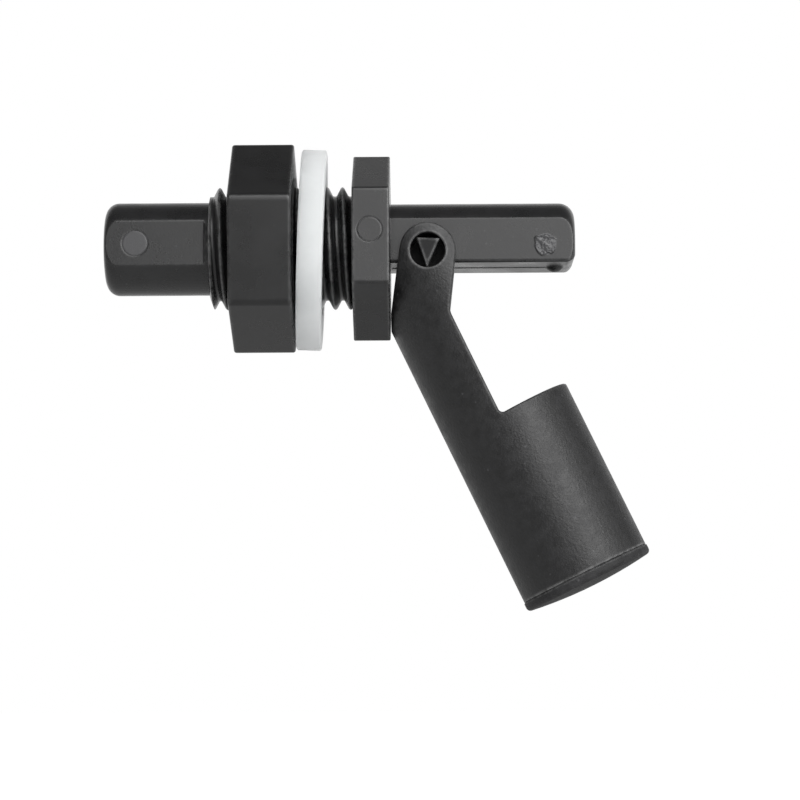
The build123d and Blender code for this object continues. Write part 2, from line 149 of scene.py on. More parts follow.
class MarkSettings(bpy.types.PropertyGroup):
    """Round moulding marks on the flats, the gate's stub and the parting line under the stem."""

    boss_x: FloatProperty(
        name="Boss mark", description="Place along X of the mark on the cable boss",
        default=-28.1 * MM, unit="LENGTH")
    boss_radius: FloatProperty(
        name="Boss mark radius", description="Radius of the mark on the cable boss",
        default=1.65 * MM, min=0.1 * MM, unit="LENGTH")
    flange_x: FloatProperty(
        name="Flange mark", description="Place along X of the mark on the hex flange",
        default=2.25 * MM, unit="LENGTH")
    flange_z: FloatProperty(
        name="Flange mark height", description="Height of the mark on the hex flange",
        default=0.77 * MM, unit="LENGTH")
    flange_radius: FloatProperty(
        name="Flange mark radius", description="Radius of the mark on the hex flange",
        default=1.6 * MM, min=0.1 * MM, unit="LENGTH")
    gate_x: FloatProperty(
        name="Gate", description="Place along X of the torn-off gate near the stem's tip",
        default=24.85 * MM, unit="LENGTH")
    gate_z: FloatProperty(
        name="Gate height", description="Height of the torn-off gate near the stem's tip",
        default=-0.34 * MM, unit="LENGTH")
    gate_radius: FloatProperty(
        name="Gate radius", description="Radius of the torn-off gate near the stem's tip",
        default=1.4 * MM, min=0.1 * MM, unit="LENGTH")
    gate_relief: FloatProperty(
        name="Gate relief", description="Height of the gate's torn stub over the flat",
        default=0.24 * MM, min=0, unit="LENGTH")
    gate_sink: FloatProperty(
        name="Gate sink", description="Depth of the stub's middle under the stem's flat",
        default=0.02 * MM, min=0, unit="LENGTH")
    pin_radius: FloatProperty(
        name="Pin radius", description="Radius of the dull ends of the hinge pins",
        default=2.3 * MM, min=0.1 * MM, unit="LENGTH")
    depth: FloatProperty(
        name="Groove radius", description="Radius of the thin round groove at the marks' edges",
        default=0.08 * MM, min=0, unit="LENGTH")
    parting_width: FloatProperty(
        name="Parting line width", description="Width of the parting line's low ridge under the stem",
        default=0.12 * MM, min=0, unit="LENGTH")
    parting_height: FloatProperty(
        name="Parting line height", description="Height of the ridge, which the raised float just clears",
        default=0.07 * MM, min=0, max=0.08 * MM, unit="LENGTH")
    parting_start: FloatProperty(
        name="Parting line start", description="Place along X where the parting line begins, by the flange",
        default=5.0 * MM, unit="LENGTH")
    parting_end: FloatProperty(
        name="Parting line end", description="Distance from the stem's tip at which the parting line stops",
        default=3.5 * MM, min=0, unit="LENGTH")


class FinishSettings(bpy.types.PropertyGroup):
    """Colours and gloss of the materials."""

    black: FloatVectorProperty(
        name="Black plastic", description="Base colour of the housing and float",
        subtype="COLOR", size=3, default=(0.0095, 0.0095, 0.01), min=0, max=1)
    nut_black: FloatVectorProperty(
        name="Nut plastic", description="Base colour of the nut",
        subtype="COLOR", size=3, default=(0.0055, 0.0055, 0.0058), min=0, max=1)
    washer_white: FloatVectorProperty(
        name="Washer", description="Colour of the translucent washer",
        subtype="COLOR", size=3, default=(0.64, 0.665, 0.67), min=0, max=1)
    housing_roughness: FloatProperty(
        name="Housing roughness", description="Roughness of the housing's skin",
        subtype="FACTOR", default=0.29, min=0, max=1)
    float_roughness: FloatProperty(
        name="Float roughness", description="Roughness of the float's eroded skin",
        subtype="FACTOR", default=0.47, min=0, max=1)
    nut_roughness: FloatProperty(
        name="Nut roughness", description="Roughness of the nut's skin",
        subtype="FACTOR", default=0.3, min=0, max=1)
    grain: FloatProperty(
        name="Grain size", description="Size of the fine moulded grain",
        default=0.16 * MM, min=0.01 * MM, unit="LENGTH")


class StageSettings(bpy.types.PropertyGroup):
    """Camera, floor and lamps."""

    target: FloatVectorProperty(
        name="Target", description="Point in the middle of the picture",
        subtype="TRANSLATION", size=3, default=(5.973 * MM, 0, -19.94 * MM))
    distance: FloatProperty(
        name="Distance", description="From the target to the camera",
        default=363.18 * MM, unit="LENGTH")
    elevation: FloatProperty(
        name="Elevation", description="Height angle of the camera over the target",
        default=radians(-6.237), unit="ROTATION")
    yaw: FloatProperty(
        name="Yaw", description="Turn of the camera about the vertical",
        default=radians(-0.484), unit="ROTATION")
    roll: FloatProperty(
        name="Roll", description="Turn of the camera about its own axis",
        default=radians(-0.263), unit="ROTATION")
    lens: FloatProperty(
        name="Lens", description="Focal length on a 36 mm wide sensor, in millimetres",
        default=125.84, min=10)
    floor_z: FloatProperty(
        name="Floor", description="Height of the floor",
        default=-75 * MM, unit="LENGTH")
    lamp_distance: FloatProperty(
        name="Lamp distance", description="From the target to the soft boxes",
        default=900 * MM, min=100 * MM, unit="LENGTH")


class LevelSensorSettings(bpy.types.PropertyGroup):
    """All settings of the level sensor."""

    thread: PointerProperty(type=ThreadSettings)
    marks: PointerProperty(type=MarkSettings)
    finish: PointerProperty(type=FinishSettings)
    stage: PointerProperty(type=StageSettings)


def settings():
    """The settings kept in the scene."""
    return bpy.context.scene.level_sensor


# Shader trees

class Tree:
    """Adds nodes to one shader tree and links them."""

    def __init__(self, tree):
        self.tree = tree
        self.tree.nodes.clear()

    def add(self, kind, inputs=None, **options):
        """Adds a node, sets its options and fills its inputs with values or links."""
        made = self.tree.nodes.new(kind)
        for name, value in options.items():
            setattr(made, name, value)
        for name, value in (inputs or {}).items():
            self.fill(made.inputs[name], value)
        return made

    def fill(self, socket, value):
        """Links an output to a socket, or sets the socket's own value."""
        if isinstance(value, bpy.types.NodeSocket):
            self.tree.links.new(value, socket)
        else:
            socket.default_value = value

    def math(self, operation, first, second=0.0):
        """One step of arithmetic."""
        return self.add("ShaderNodeMath", {0: first, 1: second}, operation=operation).outputs[0]

    def ramp(self, value, low, high, out_low=0.0, out_high=1.0, smooth=True):
        """A value carried from one range to another, held at its ends."""
        spread = {"Value": value, "From Min": low, "From Max": high, "To Min": out_low, "To Max": out_high}
        kind = "SMOOTHSTEP" if smooth else "LINEAR"
        return self.add("ShaderNodeMapRange", spread, interpolation_type=kind).outputs["Result"]

    def mix(self, share, first, second):
        """A mix of two colours."""
        made = self.add("ShaderNodeMix", data_type="RGBA")
        self.fill(made.inputs[0], share)
        self.fill(made.inputs[6], first)
        self.fill(made.inputs[7], second)
        return made.outputs[2]


def shader_group(name, inputs, outputs, build):
    """A shader node group with named sockets, built once."""
    group = bpy.data.node_groups.new(name, "ShaderNodeTree")
    for socket_name, default in inputs.items():
        socket = group.interface.new_socket(socket_name, in_out="INPUT", socket_type="NodeSocketFloat")
        socket.default_value = default
    for socket_name in outputs:
        group.interface.new_socket(socket_name, in_out="OUTPUT", socket_type="NodeSocketFloat")
    tree = Tree(group)
    given = tree.add("NodeGroupInput")
    result = build(tree, given.outputs)
    put_out = tree.add("NodeGroupOutput")
    for socket_name, value in result.items():
        tree.fill(put_out.inputs[socket_name], value)
    return group


def build_moulded_skin(tree, given):
    """Fine grain, slow mottle and small specks of a moulded plastic skin."""
    pit_scale = 0.55
    pit_height = 0.5
    speck_core, speck_edge = 0.05, 0.13
    bare_cells = 0.55
    place = tree.add("ShaderNodeTexCoord").outputs["Object"]
    grain_scale = tree.math("DIVIDE", 1.0, given["Grain Size"])
    grain = tree.add("ShaderNodeTexNoise", {
        "Vector": place, "Scale": grain_scale, "Detail": 3.0, "Roughness": 0.6}).outputs["Fac"]
    pits = tree.add("ShaderNodeTexVoronoi", {
        "Vector": place, "Scale": tree.math("MULTIPLY", grain_scale, pit_scale)}).outputs["Distance"]
    mottle_scale = tree.math("DIVIDE", 1.0, given["Mottle Size"])
    mottle = tree.add("ShaderNodeTexNoise", {
        "Vector": place, "Scale": mottle_scale, "Detail": 4.0, "Roughness": 0.55}).outputs["Fac"]
    speck_cells = tree.add("ShaderNodeTexVoronoi", {
        "Vector": place, "Scale": tree.math("DIVIDE", 1.0, given["Speck Spacing"])})
    small = tree.ramp(speck_cells.outputs["Distance"], speck_core, speck_edge, 1.0, 0.0)
    chance = tree.add("ShaderNodeSeparateColor", {"Color": speck_cells.outputs["Color"]}).outputs["Red"]
    chosen = tree.ramp(chance, bare_cells, bare_cells + 0.05)
    return {
        "Height": tree.math("ADD", grain, tree.math("MULTIPLY", pits, pit_height)),
        "Mottle": tree.ramp(mottle, 0.3, 0.7),
        "Specks": tree.math("MULTIPLY", small, chosen),
    }


def build_edge_highlight(tree, given):
    """Painted highlight along the outer edges, where a rounded edge would catch the light, broken up by
    noise.
    """
    flat_face = 0.95
    faintest_highlight = 0.35
    inside = tree.add("ShaderNodeAmbientOcclusion", {
        "Distance": given["Width"]}, samples=8, inside=True, only_local=True).outputs["AO"]
    place = tree.add("ShaderNodeTexCoord").outputs["Object"]
    break_scale = tree.math("DIVIDE", 1.0, given["Break Size"])
    broken = tree.add("ShaderNodeTexNoise", {
        "Vector": place, "Scale": break_scale, "Detail": 2.0}).outputs["Fac"]
    edge = tree.ramp(inside, given["Reach"], flat_face, 1.0, 0.0)
    return {"Mask": tree.math("MULTIPLY", edge, tree.ramp(broken, 0.35, 0.6, faintest_highlight, 1.0))}


def build_round_mark(tree, given):
    """A disc on a flat that faces along -Y."""
    fade = 0.06 * MM
    place = tree.add("ShaderNodeTexCoord").outputs["Object"]
    parts = tree.add("ShaderNodeSeparateXYZ", {"Vector": place}).outputs
    across = tree.math("SUBTRACT", parts["X"], given["X"])
    up = tree.math("SUBTRACT", parts["Z"], given["Z"])
    squares = tree.math("ADD", tree.math("POWER", across, 2.0), tree.math("POWER", up, 2.0))
    edge = tree.math("SUBTRACT", tree.math("SQRT", squares), given["Radius"])
    disc = tree.ramp(edge, -fade, fade, 1.0, 0.0)
    near_side = tree.math("LESS_THAN", parts["Y"], 0.0)
    return {"Disc": tree.math("MULTIPLY", disc, near_side)}


def build_groups():
    """The shader groups that the materials share."""
    return {
        "skin": shader_group(
            "Moulded Skin",
            {"Grain Size": 0.16 * MM, "Mottle Size": 4 * MM, "Speck Spacing": 1.6 * MM},
            ("Height", "Mottle", "Specks"), build_moulded_skin),
        # Painted highlight along the outer edges, found by looking inside the solid
        "edge": shader_group(
            "Painted Edge Highlight",
            {"Width": 0.5 * MM, "Reach": 0.5, "Break Size": 0.8 * MM},
            ("Mask",), build_edge_highlight),
        "mark": shader_group(
            "Round Mark",
            {"X": 0.0, "Z": 0.0, "Radius": MM},
            ("Disc",), build_round_mark),
    }


def place_group(tree, group, **values):
    """Places a shared group in a material with its own values."""
    made = tree.add("ShaderNodeGroup", node_tree=group)
    for name, value in values.items():
        tree.fill(made.inputs[name.replace("_", " ").title()], value)
    return made.outputs


def new_material(name):
    """A material with an empty tree."""
    material = bpy.data.materials.new(name)
    material.use_nodes = True
    return material, Tree(material.node_tree)


def scaled(colour, factor):
    """A colour made lighter or darker, with full alpha."""
    return tuple(min(1.0, channel * factor) for channel in colour) + (1.0,)


def finish_material(tree, shader):
    """Puts a shader out."""
    tree.add("ShaderNodeOutputMaterial", {"Surface": shader.outputs["BSDF"]})


def plastic(
        name, groups, colour, roughness, grain, grain_strength,
        mottle=0.25, mottle_size=4 * MM, gloss_spread=0.045, specks=0.35, edge_highlight=0.15, marks=(),
        relief=0.02 * MM, soft_edge=0.2 * MM, specular=0.5):
    """Moulded black plastic: grain, slow mottle in tone and gloss, small specks and a painted highlight along
    the outer edges.
    """
    material, tree = new_material(name)
    skin = place_group(tree, groups["skin"], grain_size=grain, mottle_size=mottle_size)
    edge = place_group(tree, groups["edge"])
    tone = tree.mix(skin["Mottle"], scaled(colour, 1 - mottle), scaled(colour, 1 + mottle))
    tone = tree.mix(tree.math("MULTIPLY", skin["Specks"], specks), tone, scaled(colour, SPECK_LIGHTER))
    # Painted highlight: the outer edges are lightened to a grey where they would catch the light
    tone = tree.mix(edge["Mask"], tone, (edge_highlight, edge_highlight, edge_highlight, 1.0))
    glossiest = roughness - gloss_spread
    dullest = roughness + gloss_spread
    rough = tree.ramp(skin["Mottle"], 0.0, 1.0, glossiest, dullest, smooth=False)
    for mark in marks:
        disc = place_group(tree, groups["mark"], x=mark.x, z=mark.z, radius=mark.radius)["Disc"]
        tone = tree.mix(tree.math("MULTIPLY", disc, mark.lighten), tone, scaled(colour, MARK_LIGHTER))
        rough = tree.math("ADD", rough, tree.math("MULTIPLY", disc, mark.roughen))
    rounded = tree.add("ShaderNodeBevel", {"Radius": soft_edge}, samples=8)
    bump = tree.add("ShaderNodeBump", {
        "Strength": grain_strength, "Distance": relief, "Height": skin["Height"],
        "Normal": rounded.outputs["Normal"]})
    finish_material(tree, tree.add("ShaderNodeBsdfPrincipled", {
        "Base Color": tone, "Roughness": rough, "Normal": bump.outputs["Normal"], "IOR": 1.6,
        "Specular IOR Level": specular}))
    return material


def silicone(name, groups, colour):
    """Translucent white silicone, a little cloudy and matt."""
    material, tree = new_material(name)
    skin = place_group(tree, groups["skin"], grain_size=0.3 * MM, mottle_size=7 * MM)
    tone = tree.mix(skin["Mottle"], scaled(colour, 0.94), scaled(colour, 1.05))
    rough = tree.ramp(skin["Mottle"], 0.0, 1.0, 0.42, 0.52, smooth=False)
    bump = tree.add("ShaderNodeBump", {
        "Strength": 0.12, "Distance": 0.02 * MM, "Height": skin["Height"]})
    shader = tree.add("ShaderNodeBsdfPrincipled", {
        "Base Color": tone, "Roughness": rough, "Normal": bump.outputs["Normal"], "IOR": 1.41})
    shader.inputs["Subsurface Weight"].default_value = 1.0
    shader.inputs["Subsurface Radius"].default_value = (1.0, 1.0, 1.0)
    shader.inputs["Subsurface Scale"].default_value = 10 * MM
    finish_material(tree, shader)
    return material


def metal(name, groups, colour, roughness):
    """Plated or drawn metal with fine drawing lines and slow tarnish."""
    material, tree = new_material(name)
    skin = place_group(tree, groups["skin"], grain_size=0.05 * MM, mottle_size=1.5 * MM)
    tone = tree.mix(skin["Mottle"], scaled(colour, 0.82), scaled(colour, 1.05))
    rough = tree.ramp(skin["Mottle"], 0.0, 1.0, roughness, roughness + 0.12, smooth=False)
    bump = tree.add("ShaderNodeBump", {
        "Strength": 0.1, "Distance": 0.005 * MM, "Height": skin["Height"]})
    shader = tree.add("ShaderNodeBsdfPrincipled", {
        "Base Color": tone, "Roughness": rough, "Normal": bump.outputs["Normal"]})
    shader.inputs["Metallic"].default_value = 1.0
    finish_material(tree, shader)
    return material


def glass(name, groups, colour):
    """Clear greenish reed glass with faint waves."""
    material, tree = new_material(name)
    skin = place_group(tree, groups["skin"], grain_size=0.8 * MM, mottle_size=2 * MM)
    tone = tree.mix(skin["Mottle"], scaled(colour, 0.94), scaled(colour, 1.04))
    rough = tree.ramp(skin["Mottle"], 0.0, 1.0, 0.02, 0.06, smooth=False)
    bump = tree.add("ShaderNodeBump", {
        "Strength": 0.05, "Distance": 0.01 * MM, "Height": skin["Height"]})
    shader = tree.add("ShaderNodeBsdfPrincipled", {
        "Base Color": tone, "Roughness": rough, "Normal": bump.outputs["Normal"], "IOR": 1.5})
    shader.inputs["Transmission Weight"].default_value = 1.0
    finish_material(tree, shader)
    return material


# Meshes

def mesh_object(name, mesh):
    """A new object in the scene with the mesh that a bmesh holds."""
    made = bpy.data.meshes.new(name)
    mesh.to_mesh(made)
    mesh.free()
    piece = bpy.data.objects.new(name, made)
    bpy.context.scene.collection.objects.link(piece)
    return piece


def copy_of(node, name):
    """A welded copy of a CAD node's mesh, free to be cut."""
    mesh = bmesh.new()
    mesh.from_mesh(nodes_of[node].data)
    bmesh.ops.remove_doubles(mesh, verts=mesh.verts, dist=CAD_WELD)
    bmesh.ops.recalc_face_normals(mesh, faces=mesh.faces)
    return mesh_object(name, mesh)


def helix_solid(name, profile, start_x, end_x, crest_x, pitch, steps):
    """A closed right-hand helical bar, its section given as (along, radius) points about its own centre."""
    mesh = bmesh.new()
    first = int((start_x - crest_x) / pitch * steps)
    last = int((end_x - crest_x) / pitch * steps)
    rings = []
    for step in range(first, last + 1):
        turn = tau * step / steps
        centre_x = crest_x + pitch * step / steps
        outward = Vector((0, -sin(turn), cos(turn)))
        rings.append([
            mesh.verts.new(outward * radius + Vector((centre_x + along, 0, 0)))
            for along, radius in profile])
    count = len(profile)
    for near, far in zip(rings, rings[1:]):
        for i in range(count):
            j = (i + 1) % count
            mesh.faces.new((near[i], near[j], far[j], far[i]))
    mesh.faces.new(rings[0])
    mesh.faces.new(rings[-1])
    bmesh.ops.recalc_face_normals(mesh, faces=mesh.faces)
    return mesh_object(name, mesh)


def box_solid(name, low, high):
    """A closed box between two corners."""
    mesh = bmesh.new()
    bmesh.ops.create_cube(mesh, size=1.0)
    size = Vector(high) - Vector(low)
    middle = (Vector(high) + Vector(low)) / 2
    place = Matrix.Translation(middle) @ Matrix.Diagonal((*size, 1))
    bmesh.ops.transform(mesh, matrix=place, verts=mesh.verts)
    return mesh_object(name, mesh)


def ring_solid(name, centre, radius, thickness):
    """A closed ring of round section whose axis is along Y."""
    mesh = bmesh.new()
    section = [tau * (i + 0.5) / RING_SECTION_STEPS for i in range(RING_SECTION_STEPS)]
    rings = []
    for step in range(RING_STEPS):
        turn = tau * step / RING_STEPS
        outward = Vector((cos(turn), 0, sin(turn)))
        rings.append([
            mesh.verts.new(
                centre + outward * (radius + thickness * cos(angle)) + Vector((0, thickness * sin(angle), 0)))
            for angle in section])
    for near, far in zip(rings, rings[1:] + rings[:1]):
        for i in range(RING_SECTION_STEPS):
            j = (i + 1) % RING_SECTION_STEPS
            mesh.faces.new((near[i], near[j], far[j], far[i]))
    bmesh.ops.recalc_face_normals(mesh, faces=mesh.faces)
    return mesh_object(name, mesh)


def torn_stub(name, centre, radius, relief):
    """A low rough lump with steep sides, as left where a gate was torn off a flat that faces along -Y."""
    ragged_outline = 0.25
    outline_scale = 1.7
    outline_place = Vector((3.1, 0, 7.7))
    tear_x, tear_z = -1.1, 0.9
    tear_ridges = 9
    tear_waver = 1.5
    crack_scale = 6.0
    crack_plane = 1.7
    low_parts = 0.35
    ridge_height = 0.8
    crack_height = 0.6
    least_height = 0.2
    side_steepness = 4
    root_depth = 0.3 * MM
    mesh = bmesh.new()
    bmesh.ops.create_icosphere(mesh, subdivisions=5, radius=1.0)
    for vertex in mesh.verts:
        way = vertex.co.normalized()
        around = Vector((way.x, 0, way.z)).normalized()
        reach = radius * (1 + ragged_outline * noise.noise(around * outline_scale + outline_place))
        from_tear = Vector((way.x - tear_x, way.z - tear_z))
        fan = from_tear.angle_signed(Vector((1, 0))) * tear_ridges + tear_waver * noise.noise(way * 2.0)
        ridges = ridge_height * abs((fan / pi) % 2 - 1)
        cracks = crack_height * noise.noise(Vector((way.x * crack_scale, crack_plane, way.z * crack_scale)))
        rough = max(least_height, low_parts + ridges + cracks)
        rise = max(-1.0, min(1.0, side_steepness * way.y))
        height = rise * (root_depth if rise > 0 else relief * rough)
        vertex.co = centre + Vector((way.x * reach, height, way.z * reach))
    return mesh_object(name, mesh)


def combine(piece, other, operation):
    """Cuts, joins or trims a piece with another solid, which is then gone."""
    step = piece.modifiers.new(operation.lower(), "BOOLEAN")
    step.operation = operation
    step.solver = "EXACT"
    step.object = other
    apply_modifiers(piece)
    bpy.data.objects.remove(other)


def apply_modifiers(piece):
    """Writes the modifiers' result into the piece's own mesh, with its tiniest edges closed up."""
    seen = piece.evaluated_get(bpy.context.evaluated_depsgraph_get())
    result = bpy.data.meshes.new_from_object(seen)
    piece.modifiers.clear()
    mesh = bmesh.new()
    mesh.from_mesh(result)
    bmesh.ops.remove_doubles(mesh, verts=mesh.verts, dist=CUT_WELD)
    mesh.to_mesh(result)
    mesh.free()
    piece.data = result


def merge_flats(piece):
    """Merges the faces that lie in one plane, so that a flat shades as one face."""
    mesh = bmesh.new()
    mesh.from_mesh(piece.data)
    bmesh.ops.dissolve_limit(mesh, angle_limit=MERGE_ANGLE, verts=mesh.verts, edges=mesh.edges)
    mesh.to_mesh(piece.data)
    mesh.free()


def smooth(piece):
    """Smooth shading that keeps flats flat and sharp edges sharp."""
    piece.data.shade_smooth()
    piece.data.set_sharp_from_angle(angle=SHARP_ANGLE)
    even = piece.modifiers.new("even_normals", "WEIGHTED_NORMAL")
    even.keep_sharp = True
    even.weight = NORMAL_WEIGHT


def sharpen_flat(piece, flat_y):
    """Marks the whole outline of a flat that faces along Y as sharp, so that the flat shades evenly."""
    mesh = bmesh.new()
    mesh.from_mesh(piece.data)
    on_flat = {
        face for face in mesh.faces
        if all(abs(vertex.co.y - flat_y) < FLAT_TOLERANCE for vertex in face.verts)}
    for edge in mesh.edges:
        if len(on_flat.intersection(edge.link_faces)) == 1:
            edge.smooth = False
    mesh.to_mesh(piece.data)
    mesh.free()


def dress(piece, material):
    """Gives a piece one material."""
    piece.data.materials.clear()
    piece.data.materials.append(material)


def dress_node(node, material):
    """Gives a CAD node's object a finish, leaving its mesh as it is."""
    piece = nodes_of[node]
    piece.material_slots[0].link = "OBJECT"
    piece.material_slots[0].material = material


groups_made = {}


def groups():
    """The shared shader groups, made on first use."""
    if not groups_made:
        groups_made.update(build_groups())
    return groups_made


# Operators, one for each piece or group of like pieces

class LEVEL_SENSOR_OT_stage(bpy.types.Operator):
    """Set the camera, the pale floor, the background and the soft lamps"""

    bl_idname = "level_sensor.stage"
    bl_label = "Set the Stage"

    def execute(self, context):
        stage = settings().stage
        scene = context.scene
        scene.view_settings.view_transform = "Standard"
        self.add_camera(scene, stage)
        self.add_floor(stage)
        self.add_world(scene)
        self.add_lamps(stage)
        return {"FINISHED"}

    def add_camera(self, scene, stage):
        """A long lens in front of the sensor that looks along +Y at the target."""
        level = cos(stage.elevation)
        forward = Vector((sin(stage.yaw) * level, cos(stage.yaw) * level, -sin(stage.elevation)))
        data = bpy.data.cameras.new("camera")
        data.lens = stage.lens
        data.sensor_width = 36.0
        data.clip_start = 10 * MM
        data.clip_end = 100.0
        camera = bpy.data.objects.new("camera", data)
        scene.collection.objects.link(camera)
        camera.location = Vector(stage.target) - forward * stage.distance
        camera.rotation_mode = "QUATERNION"
        camera.rotation_quaternion = forward.to_track_quat("-Z", "Y") @ Quaternion((0, 0, 1), stage.roll)
        scene.camera = camera

    def add_floor(self, stage):
        """Pale paper, white to the camera and a table that pales to the back to gloss, clear from below."""
        paper_dark, paper_light = (0.80, 0.80, 0.80, 1), (0.84, 0.84, 0.84, 1)
        table_dark, table_light = (0.40, 0.40, 0.40, 1), (0.44, 0.44, 0.44, 1)
        table_end, paper_start = -60 * MM, 400 * MM
        glow_start, glow_full = 250 * MM, 600 * MM
        table_glow, back_glow = 0.1, 0.5
        camera_glow = 0.8
        mesh = bmesh.new()
        bmesh.ops.create_circle(
            mesh, cap_ends=True, segments=96, radius=6.0,
            matrix=Matrix.Translation((0, 0, stage.floor_z)))
        floor = mesh_object("floor", mesh)
        material, tree = new_material("pale_floor")
        place = tree.add("ShaderNodeTexCoord").outputs["Object"]
        card = tree.add("ShaderNodeTexNoise", {"Vector": place, "Scale": 6.0, "Detail": 2.0})
        depth = tree.add("ShaderNodeSeparateXYZ", {"Vector": place}).outputs["Y"]
        paper = tree.mix(card.outputs["Fac"], paper_dark, paper_light)
        table = tree.mix(card.outputs["Fac"], table_dark, table_light)
        tone = tree.mix(tree.ramp(depth, table_end, paper_start, smooth=False), table, paper)
        rays = tree.add("ShaderNodeLightPath").outputs
        tone = tree.mix(rays["Is Glossy Ray"], paper, tone)
        matt = tree.add("ShaderNodeBsdfDiffuse", {"Color": tone})
        behind = tree.ramp(depth, glow_start, glow_full, table_glow, back_glow, smooth=False)
        mirrored = tree.math("MAXIMUM", rays["Is Glossy Ray"], rays["Is Transmission Ray"])
        lift = tree.math("MULTIPLY", mirrored, behind)
        lift = tree.math("MAXIMUM", lift, tree.math("MULTIPLY", rays["Is Camera Ray"], camera_glow))
        glow = tree.add("ShaderNodeEmission", {"Strength": lift})
        both = tree.add("ShaderNodeAddShader", {0: matt.outputs[0], 1: glow.outputs[0]})
        below = tree.add("ShaderNodeNewGeometry").outputs["Backfacing"]
        clear = tree.add("ShaderNodeBsdfTransparent")
        one_sided = tree.add("ShaderNodeMixShader", {0: below, 1: both.outputs[0], 2: clear.outputs[0]})
        tree.add("ShaderNodeOutputMaterial", {"Surface": one_sided.outputs[0]})
        dress(floor, material)

    def add_world(self, scene):
        """White to the camera, a backdrop behind the sensor to gloss and glass, an even room to the rest."""
        dark_room, white = 0.13, 1.0
        dim_overhead = 0.04
        room_light = 0.45
        world = bpy.data.worlds.new("studio")
        world.use_nodes = True
        scene.world = world
        tree = Tree(world.node_tree)
        way = tree.add("ShaderNodeSeparateXYZ", {
            "Vector": tree.add("ShaderNodeTexCoord").outputs["Generated"]}).outputs
        behind = tree.ramp(way["Y"], 0.3, 0.95)
        overhead = tree.ramp(way["Z"], 0.45, 0.95, 1.0, dim_overhead)
        screen = tree.math("MULTIPLY", behind, overhead)
        backdrop = tree.ramp(screen, 0.0, 1.0, dark_room, white, smooth=False)
        rays = tree.add("ShaderNodeLightPath").outputs
        mirrored = tree.math("MAXIMUM", rays["Is Glossy Ray"], rays["Is Transmission Ray"])
        strength = tree.ramp(mirrored, 0.0, 1.0, room_light, backdrop, smooth=False)
        strength = tree.ramp(rays["Is Camera Ray"], 0.0, 1.0, strength, white, smooth=False)
        light = tree.add("ShaderNodeBackground", {"Color": (1, 1, 1, 1), "Strength": strength})
        tree.add("ShaderNodeOutputWorld", {"Surface": light.outputs[0]})

    def add_lamps(self, stage):
        """Soft boxes on the camera's side, all turned to the target."""
        for name, box in SOFT_BOXES.items():
            data = bpy.data.lights.new(name, "AREA")
            data.shape = "RECTANGLE"
            data.size = 2 * stage.lamp_distance * tan(radians(box.width / 2))
            data.size_y = 2 * stage.lamp_distance * tan(radians(box.height / 2))
            data.energy = pi * box.brightness * data.size * data.size_y
            lamp = bpy.data.objects.new(name, data)
            bpy.context.scene.collection.objects.link(lamp)
            azimuth = radians(box.azimuth)
            elevation = radians(box.elevation)
            level = cos(elevation)
            away = Vector((sin(azimuth) * level, -cos(azimuth) * level, sin(elevation)))
            lamp.location = Vector(stage.target) + away * stage.lamp_distance
            lamp.rotation_mode = "QUATERNION"
            lamp.rotation_quaternion = (-away).to_track_quat("-Z", "Y")


class LEVEL_SENSOR_OT_housing(bpy.types.Operator):
    """Cut the thread, the moulding marks and the parting line into the housing and give it its finish"""

    bl_idname = "level_sensor.housing"
    bl_label = "Make the Housing"

    def execute(self, context):
        thread = settings().thread
        marks = settings().marks
        finish = settings().finish
        piece = copy_of("housing", "housing_moulding")
        low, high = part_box("housing")
        combine(piece, self.groove(thread, low.x), "DIFFERENCE")
        for name, centre, radius in (
                ("boss_mark", Vector((marks.boss_x, BOSS_FLAT_Y, 0)), marks.boss_radius),
                ("flange_mark", Vector((marks.flange_x, low.y, marks.flange_z)), marks.flange_radius)):
            combine(piece, ring_solid(name, centre, radius, marks.depth), "DIFFERENCE")
        gate = Vector((marks.gate_x, STEM_FLAT_Y + marks.gate_sink, marks.gate_z))
        combine(piece, torn_stub("gate", gate, marks.gate_radius, marks.gate_relief), "UNION")
        combine(piece, self.parting_line(marks, high.x), "UNION")
        smooth(piece)
        sharpen_flat(piece, BOSS_FLAT_Y)
        sharpen_flat(piece, STEM_FLAT_Y)
        dress(piece, plastic(
            "housing_plastic", groups(), finish.black, finish.housing_roughness, finish.grain,
            grain_strength=0.35, soft_edge=0.25 * MM,
            marks=(
                RoundMark(marks.boss_x, 0.0, marks.boss_radius, lighten=0.8, roughen=0.03),
                RoundMark(marks.gate_x, marks.gate_z, marks.gate_radius, lighten=1.0, roughen=0.0),
                RoundMark(float_hinge.x, float_hinge.z, marks.pin_radius, lighten=0.0, roughen=0.6),
            )))
        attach(piece, "housing")
        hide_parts("housing")
        return {"FINISHED"}

    def groove(self, thread, low_x):
        """The groove between the thread's crests, which ends at the flange's sealing face."""
        half = thread.pitch / 2
        crest = thread.major_radius
        root = crest - thread.depth
        past_face = 2.5 * MM
        face_gap = 0.01 * MM
        side = [(share * half, root + rise) for share, rise in GROOVE_ROOT]
        side += [(share * half, crest + rise) for share, rise in GROOVE_CREST]
        profile = [(-along, radius) for along, radius in reversed(side)] + side
        cutter = helix_solid(
            "thread_groove", profile, low_x * thread.run_out, past_face,
            thread.crest_x + half, thread.pitch, thread.steps)
        reach = 2 * crest
        room = box_solid("groove_room", (low_x, -reach, -reach), (-face_gap, reach, reach))
        combine(cutter, room, "INTERSECT")
        return cutter

    def parting_line(self, marks, tip_x):
        """The low ridge along the middle of the stem's underside."""
        half = marks.parting_width / 2
        return box_solid(
            "parting_line",
            (marks.parting_start, -half, STEM_UNDERSIDE_Z - marks.parting_height),
            (tip_x - marks.parting_end, half, STEM_UNDERSIDE_Z + marks.parting_height))


